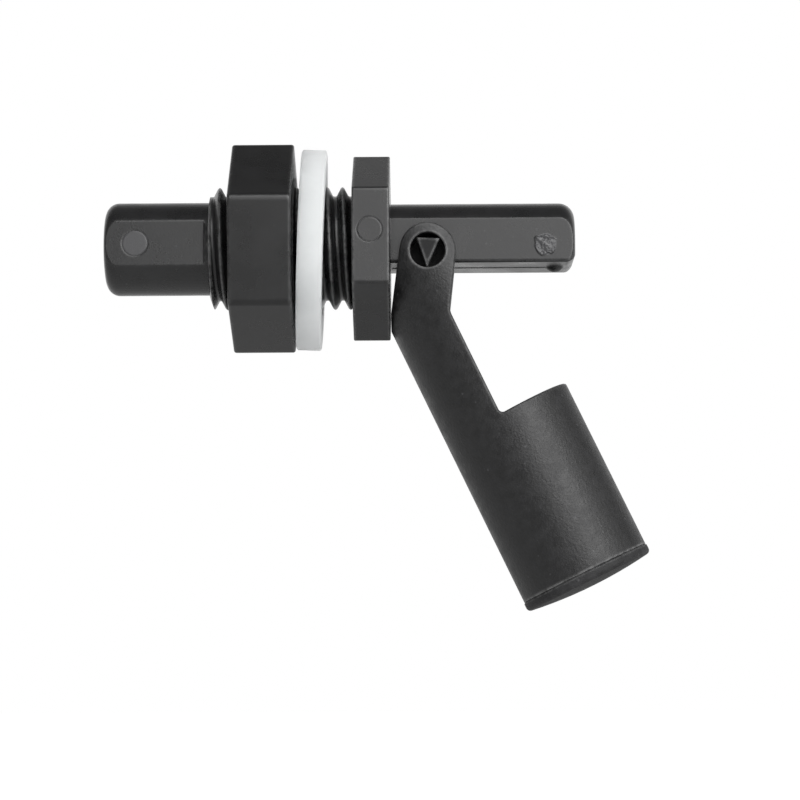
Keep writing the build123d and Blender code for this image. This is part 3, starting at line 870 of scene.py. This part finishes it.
class LEVEL_SENSOR_OT_nut(bpy.types.Operator):
    """Give the nut its inner thread and its finish"""

    bl_idname = "level_sensor.nut"
    bl_label = "Make the Nut"

    def execute(self, context):
        thread = settings().thread
        finish = settings().finish
        piece = copy_of("mounting_nut", "locknut")
        low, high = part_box("mounting_nut")
        combine(piece, self.ridge(thread, low.x, high.x), "UNION")
        merge_flats(piece)
        smooth(piece)
        dress(piece, plastic(
            "nut_plastic", groups(), finish.nut_black, finish.nut_roughness, finish.grain,
            grain_strength=0.2, specks=0.15, soft_edge=0.35 * MM))
        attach(piece, "nut")
        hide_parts("mounting_nut")
        return {"FINISHED"}

    def ridge(self, thread, start_x, end_x):
        """The ridge that runs in the housing's groove, trimmed between the nut's faces."""
        half = thread.pitch / 2
        tip = thread.major_radius - thread.depth + thread.nut_clearance
        base = thread.major_radius + 0.25 * MM
        foot_width = 0.80 * half
        tip_width = 0.16 * half
        inset = 0.3 * MM
        profile = [(-foot_width, base), (-tip_width, tip), (tip_width, tip), (foot_width, base)]
        bar = helix_solid(
            "nut_ridge", profile, start_x - 2 * half, end_x + 2 * half,
            thread.crest_x + half, thread.pitch, thread.steps)
        reach = 2 * thread.major_radius
        room = box_solid("ridge_room", (start_x + inset, -reach, -reach), (end_x - inset, reach, reach))
        combine(bar, room, "INTERSECT")
        return bar


class LEVEL_SENSOR_OT_washer(bpy.types.Operator):
    """Give the sealing washer its translucent white silicone"""

    bl_idname = "level_sensor.washer"
    bl_label = "Finish the Washer"

    def execute(self, context):
        finish = settings().finish
        dress_node("sealing_washer", silicone("washer_silicone", groups(), finish.washer_white))
        return {"FINISHED"}


class LEVEL_SENSOR_OT_float(bpy.types.Operator):
    """Give the float, its cap, magnet and plug their finishes"""

    bl_idname = "level_sensor.float"
    bl_label = "Finish the Float"

    def execute(self, context):
        finish = settings().finish
        eroded_grain = 1.7 * finish.grain
        cap_black = scaled(finish.black, 1.9)[:3]
        cap_roughness = finish.float_roughness + 0.2
        shell = plastic(
            "float_plastic", groups(), finish.black, finish.float_roughness, eroded_grain,
            grain_strength=0.9, mottle=0.4, mottle_size=1.3 * MM, gloss_spread=0.06, specks=0.5,
            relief=0.05 * MM)
        dress_node("float_shell", shell)
        dress_node("magnet_plug", shell)
        dress_node("float_cap", plastic(
            "cap_plastic", groups(), cap_black, cap_roughness, eroded_grain,
            grain_strength=0.8, mottle=0.45, mottle_size=1.8 * MM, specks=0.4,
            relief=0.035 * MM, specular=0.35))
        dress_node("float_magnet", metal("magnet_nickel", groups(), NICKEL, roughness=0.25))
        return {"FINISHED"}


class LEVEL_SENSOR_OT_reed(bpy.types.Operator):
    """Give the reed contact, its wiring and the potting their finishes"""

    bl_idname = "level_sensor.reed"
    bl_label = "Finish the Reed and Wiring"

    def execute(self, context):
        shared = groups()
        dress_node("reed_glass", glass("reed_glass", shared, REED_GLASS_GREEN))
        blades = metal("reed_metal", shared, TINNED_IRON, roughness=0.22)
        barrels = metal("joint_metal", shared, TINNED_BRASS, roughness=0.35)
        copper = metal("wire_copper", shared, COPPER, roughness=0.28)
        sleeves = plastic(
            "sleeve_plastic", shared, SLEEVE_BLACK, roughness=0.35, grain=0.1 * MM,
            grain_strength=0.15, mottle=0.2, specks=0.0)
        covers = plastic(
            "wire_cover", shared, WIRE_BLACK, roughness=0.3, grain=0.1 * MM,
            grain_strength=0.1, mottle=0.2, specks=0.0)
        for end in ("front", "rear"):
            dress_node(f"reed_blade_{end}", blades)
            dress_node(f"joint_{end}", barrels)
            dress_node(f"joint_sleeve_{end}", sleeves)
            dress_node(f"wire_core_{end}", copper)
            dress_node(f"wire_cover_{end}", covers)
        dress_node("reed_sleeve", sleeves)
        dress_node("potting_compound", plastic(
            "potting", shared, POTTING_BLACK, roughness=0.22, grain=0.5 * MM,
            grain_strength=0.2, mottle=0.3, specks=0.1))
        return {"FINISHED"}


class LEVEL_SENSOR_PT_panel(bpy.types.Panel):
    """Sidebar panel of the level sensor"""

    bl_idname = "LEVEL_SENSOR_PT_panel"
    bl_label = "Level Sensor"
    bl_space_type = "VIEW_3D"
    bl_region_type = "UI"
    bl_category = "Level Sensor"

    def draw(self, context):
        layout = self.layout
        for group in (settings().thread, settings().marks, settings().finish, settings().stage):
            column = layout.box().column()
            for name in group.__annotations__:
                column.prop(group, name)
        for operator in operators:
            layout.operator(operator.bl_idname)


operators = (
    LEVEL_SENSOR_OT_stage,
    LEVEL_SENSOR_OT_housing,
    LEVEL_SENSOR_OT_nut,
    LEVEL_SENSOR_OT_washer,
    LEVEL_SENSOR_OT_float,
    LEVEL_SENSOR_OT_reed,
)
classes = (
    ThreadSettings, MarkSettings, FinishSettings, StageSettings, LevelSensorSettings,
    *operators, LEVEL_SENSOR_PT_panel,
)


def register():
    """Registers the settings, operators and panel."""
    for item in classes:
        bpy.utils.register_class(item)
    bpy.types.Scene.level_sensor = PointerProperty(type=LevelSensorSettings)


def unregister():
    """Takes the panel, operators and settings out again."""
    del bpy.types.Scene.level_sensor
    for item in reversed(classes):
        bpy.utils.unregister_class(item)


def main():
    """Builds the looks."""
    register()
    bpy.ops.level_sensor.stage()
    bpy.ops.level_sensor.housing()
    bpy.ops.level_sensor.nut()
    bpy.ops.level_sensor.washer()
    bpy.ops.level_sensor.float()
    bpy.ops.level_sensor.reed()


if __name__ == "__main__":
    main()
